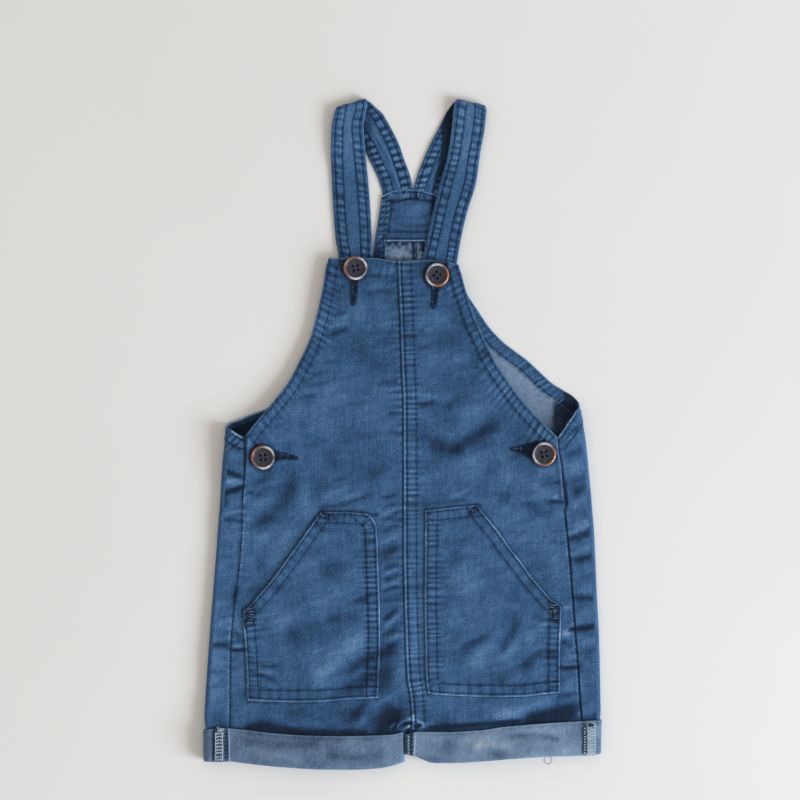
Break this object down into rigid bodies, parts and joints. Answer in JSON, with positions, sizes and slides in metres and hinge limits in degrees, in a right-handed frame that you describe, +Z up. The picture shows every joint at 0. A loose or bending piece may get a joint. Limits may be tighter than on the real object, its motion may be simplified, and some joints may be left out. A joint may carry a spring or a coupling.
{
  "type": "kids dungarees",
  "caption": "Short-legged kids dungarees in light denim, laid flat with the front up: buttoned bib and straps, side openings, slanted patch pockets and turned-up cuffs.",
  "frame": {"origin": "middle of the garment's outline, on the surface it lies on", "axes": "+X to the right seen from the front, +Y from the legs to the straps, +Z up out of the surface, the front facing +Z"},
  "size_m": [0.298, 0.5026, 0.0118],
  "materials": {
    "denim": "washed mid-blue light denim, matt, with slubs and worn seams",
    "denim_reverse": "the same cloth's paler grey-blue reverse, matt",
    "button": "dark matt middle with a glossy horn-like rim"
  },
  "bodies": {
    "root": {"front_left": "denim", "front_right": "denim", "back_left": "denim", "back_right": "denim", "back_facing": "denim", "strap_left": "denim", "strap_right": "denim", "placket_left": "denim", "placket_right": "denim", "pocket_left": "denim", "pocket_right": "denim", "cuff_left": "denim_reverse", "cuff_right": "denim_reverse", "button_strap_left": "button", "button_strap_right": "button", "button_side_left": "button", "button_side_right": "button"}
  },
  "joints": []
}
